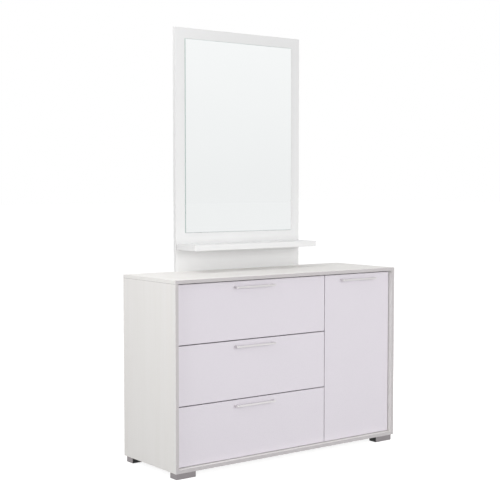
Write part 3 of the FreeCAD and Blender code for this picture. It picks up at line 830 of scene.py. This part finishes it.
def floor_finish(own, lit):
    """Matt studio paint with a fine grain, which shows part of its white by itself.

    To the camera the other part of its white is the light on it, so it keeps shadows.
    """
    material = bpy.data.materials.new("painted_studio_floor")
    material.use_nodes = True
    tree = material.node_tree
    tree.nodes.clear()
    grain = add(tree, "ShaderNodeTexNoise", {"Scale": 4.0, "Detail": 3.0})
    paint = add(tree, "ShaderNodeMapRange", {"Value": grain, "To Min": 0.99, "To Max": 1.01})
    painted = add(tree, "ShaderNodeMath", {
        0: by_ray(tree, lit, lit, FLOOR_BOUNCE), 1: paint,
    }, operation="MULTIPLY")
    matt = add(tree, "ShaderNodeBsdfDiffuse", {"Color": painted})
    glow = add(tree, "ShaderNodeEmission", {"Strength": by_ray(tree, own, FLOOR_IN_GLOSS, 0.0)})
    both = add(tree, "ShaderNodeAddShader", {0: matt, 1: glow})
    add(tree, "ShaderNodeOutputMaterial", {"Surface": both})
    return material


def lay_floor(material):
    """A seamless pale floor that runs on into the white surroundings."""
    mesh = bmesh.new()
    bmesh.ops.create_grid(mesh, x_segments=1, y_segments=1, size=FLOOR_HALF)
    data = bpy.data.meshes.new("studio_floor")
    mesh.to_mesh(data)
    mesh.free()
    data.materials.append(material)
    floor = bpy.data.objects.new("studio_floor", data)
    floor.location.z = -FLOOR_DROP
    bpy.context.scene.collection.objects.link(floor)


def hang_lamp(scene, name, spot, aim, size, power):
    """A square soft lamp at a spot that looks at its aim."""
    lamp = bpy.data.lights.new(name + "_lamp", "AREA")
    lamp.size = size
    lamp.energy = power
    holder = bpy.data.objects.new(name + "_lamp", lamp)
    holder.visible_glossy = name != UNREFLECTED_LAMP
    holder.location = spot
    way = Vector(aim) - holder.location
    holder.rotation_euler = way.to_track_quat("-Z", "Y").to_euler()
    scene.collection.objects.link(holder)


def place_camera(scene):
    """The camera at the photograph's place and angle."""
    lens = bpy.data.cameras.new("photo_camera")
    lens.sensor_width = CAMERA_SENSOR
    lens.lens = CAMERA_LENS
    camera = bpy.data.objects.new("photo_camera", lens)
    camera.location = CAMERA_PLACE
    camera.rotation_euler = (math.radians(90.0 - CAMERA_DOWN), 0.0, math.radians(CAMERA_TURN))
    scene.collection.objects.link(camera)
    scene.camera = camera


# Operators


class DRESSER_OT_boards(bpy.types.Operator):
    """Gives the carcass boards their grained laminate"""

    bl_idname = "dresser.boards"
    bl_label = "Carcass boards"

    def execute(self, context):
        look, size = chosen(context)
        level = grained_melamine(look, size, "X", -1)
        upright = grained_melamine(look, size, "Z", 1)
        dress(["top_panel", "bottom_panel", "rear_rail", "compartment_shelf"], level)
        dress(["left_side_panel", "right_side_panel", "centre_partition"], upright)
        return {"FINISHED"}


class DRESSER_OT_fronts(bpy.types.Operator):
    """Lacquers the drawer fronts and the door"""

    bl_idname = "dresser.fronts"
    bl_label = "Fronts"

    def execute(self, context):
        dress(of_drawers("front") + ["door_panel"], sprayed_lacquer(*chosen(context)))
        return {"FINISHED"}


class DRESSER_OT_handles(bpy.types.Operator):
    """Brushes the four bow handles along their length"""

    bl_idname = "dresser.handles"
    bl_label = "Handles"

    def execute(self, context):
        look, size = chosen(context)
        satin = brushed_aluminium("brushed_anodised_aluminium", look.handle, size, "X")
        dress(of_drawers("handle") + ["door_handle"], satin)
        return {"FINISHED"}


class DRESSER_OT_drawer_boxes(bpy.types.Operator):
    """Wraps the drawer boxes in foil and finishes the thin boards"""

    bl_idname = "dresser.drawer_boxes"
    bl_label = "Drawer boxes and thin boards"

    def execute(self, context):
        look, size = chosen(context)
        dress(of_drawers("left_side", "right_side", "back"), paper_foil(look, size))
        dress(of_drawers("bottom"), hardboard(look, size, "Z", -1))
        dress(["back_panel"], hardboard(look, size, "Y", 1))
        return {"FINISHED"}


class DRESSER_OT_rails(bpy.types.Operator):
    """Plates the telescopic rails and fills their cages with steel balls"""

    bl_idname = "dresser.rails"
    bl_label = "Telescopic rails"

    def execute(self, context):
        look, size = chosen(context)
        steel = plated_steel("zinc_plated_steel", look.zinc, size, 0.3)
        polished = plated_steel("polished_ball_steel", look.zinc, size, 0.12)
        dress(["cabinet_rails"] + of_drawers("inner_rails", "middle_rails"), steel)
        for drawer in DRAWERS:
            add_balls(drawer, polished, size.ball_pitch)
        return {"FINISHED"}


class DRESSER_OT_hinges(bpy.types.Operator):
    """Plates the cup hinges of the door and the pins of the inner shelf"""

    bl_idname = "dresser.hinges"
    bl_label = "Hinges and shelf pins"

    def execute(self, context):
        look, size = chosen(context)
        nickel = plated_steel("nickel_plated_steel", look.nickel, size, 0.2)
        dress(["hinge_arms", "hinge_plates", "hinge_cups", "hinge_pins", "shelf_pins"], nickel)
        return {"FINISHED"}


class DRESSER_OT_feet(bpy.types.Operator):
    """Moulds the four feet and brushes the angles round them"""

    bl_idname = "dresser.feet"
    bl_label = "Feet"

    def execute(self, context):
        look, size = chosen(context)
        corners = ("front_left", "front_right", "rear_left", "rear_right")
        dress([corner + "_foot" for corner in corners], moulded_abs(look, size))
        dress(["foot_trims"], brushed_aluminium("brushed_trim", look.foot_trim, size, "X"))
        return {"FINISHED"}


class DRESSER_OT_mirror(bpy.types.Operator):
    """Finishes the mirror panel, its shelf and its glass"""

    bl_idname = "dresser.mirror"
    bl_label = "Mirror panel, shelf and glass"

    def execute(self, context):
        look, size = chosen(context)
        dress(["mirror_panel", "mirror_shelf"], plain_melamine(look, size))
        dress(["mirror_glass"], silvered_glass(look, size))
        return {"FINISHED"}


class DRESSER_OT_straps(bpy.types.Operator):
    """Coats the two steel straps behind the mirror panel"""

    bl_idname = "dresser.straps"
    bl_label = "Straps"

    def execute(self, context):
        dress(["mirror_straps"], powder_coat(*chosen(context)))
        return {"FINISHED"}


class DRESSER_OT_screws(bpy.types.Operator):
    """Turns all screws and nails with their threads, round heads and slots"""

    bl_idname = "dresser.screws"
    bl_label = "Screws and nails"

    def execute(self, context):
        look, size = chosen(context)
        zinc = plated_steel("zinc_plated_screw_steel", look.zinc, size, 0.25)
        screws = ["foot_screws", "mirror_screws", "rail_and_hinge_screws", "door_screws"]
        turn_again(screws + of_drawers("screws"), add_screw, zinc,
                   size.thread_pitch)
        turn_again(["back_panel_nails"], add_nail, zinc, size.thread_pitch)
        return {"FINISHED"}


class DRESSER_OT_board_joints(bpy.types.Operator):
    """Turns the cams, bolts and dowels between the boards, and the door's soft pads"""

    bl_idname = "dresser.board_joints"
    bl_label = "Cams, dowels and pads"

    def execute(self, context):
        look, size = chosen(context)
        pitch = size.thread_pitch
        turn_again(["cam_fittings"], add_cam_part, cast_zinc(look, size), pitch)
        turn_again(["wood_dowels"], add_dowel, turned_beech(look, size), pitch)
        turn_again(["door_bumpers"], add_pad, clear_pad(look, size), pitch)
        return {"FINISHED"}


class DRESSER_OT_studio(bpy.types.Operator):
    """Sets up the floor, the soft light, the white surroundings and the camera"""

    bl_idname = "dresser.studio"
    bl_label = "Studio"

    def execute(self, context):
        scene = context.scene
        scene.view_settings.view_transform = "Standard"
        light = scene.dresser_light
        scene.world = studio_world(light.world)
        lay_floor(floor_finish(light.floor_own, light.floor_lit))
        for name, (spot, aim, size) in LAMPS.items():
            hang_lamp(scene, name, spot, aim, size, getattr(light, name))
        place_camera(scene)
        return {"FINISHED"}


# Panel and registration


class DRESSER_PT_sidebar(bpy.types.Panel):
    """Lists the dresser's colours, sizes and making steps"""

    bl_idname = "DRESSER_PT_sidebar"
    bl_label = "Dresser with mirror"
    bl_space_type = "VIEW_3D"
    bl_region_type = "UI"
    bl_category = "Dresser"

    def draw(self, context):
        scene = context.scene
        for group in (scene.dresser_colours, scene.dresser_sizes, scene.dresser_light):
            box = self.layout.box()
            for name in group.__annotations__:
                box.prop(group, name)
        for step in STEPS:
            self.layout.operator(step.bl_idname)


GROUPS = {
    "dresser_colours": DresserColours,
    "dresser_sizes": DresserSizes,
    "dresser_light": DresserLight,
}
STEPS = (
    DRESSER_OT_boards,
    DRESSER_OT_fronts,
    DRESSER_OT_handles,
    DRESSER_OT_drawer_boxes,
    DRESSER_OT_rails,
    DRESSER_OT_hinges,
    DRESSER_OT_feet,
    DRESSER_OT_mirror,
    DRESSER_OT_straps,
    DRESSER_OT_screws,
    DRESSER_OT_board_joints,
    DRESSER_OT_studio,
)


def register():
    """Registers the settings, the operators and the panel."""
    for kind in (*GROUPS.values(), *STEPS, DRESSER_PT_sidebar):
        bpy.utils.register_class(kind)
    for name, group in GROUPS.items():
        setattr(bpy.types.Scene, name, PointerProperty(type=group))


def unregister():
    """Takes the settings, the operators and the panel away again."""
    for name in GROUPS:
        delattr(bpy.types.Scene, name)
    for kind in (DRESSER_PT_sidebar, *reversed(STEPS), *reversed(GROUPS.values())):
        bpy.utils.unregister_class(kind)


def main():
    """Makes every piece in order."""
    register()
    for step in STEPS:
        category, name = step.bl_idname.split(".")
        getattr(getattr(bpy.ops, category), name)()


if __name__ == "__main__":
    main()
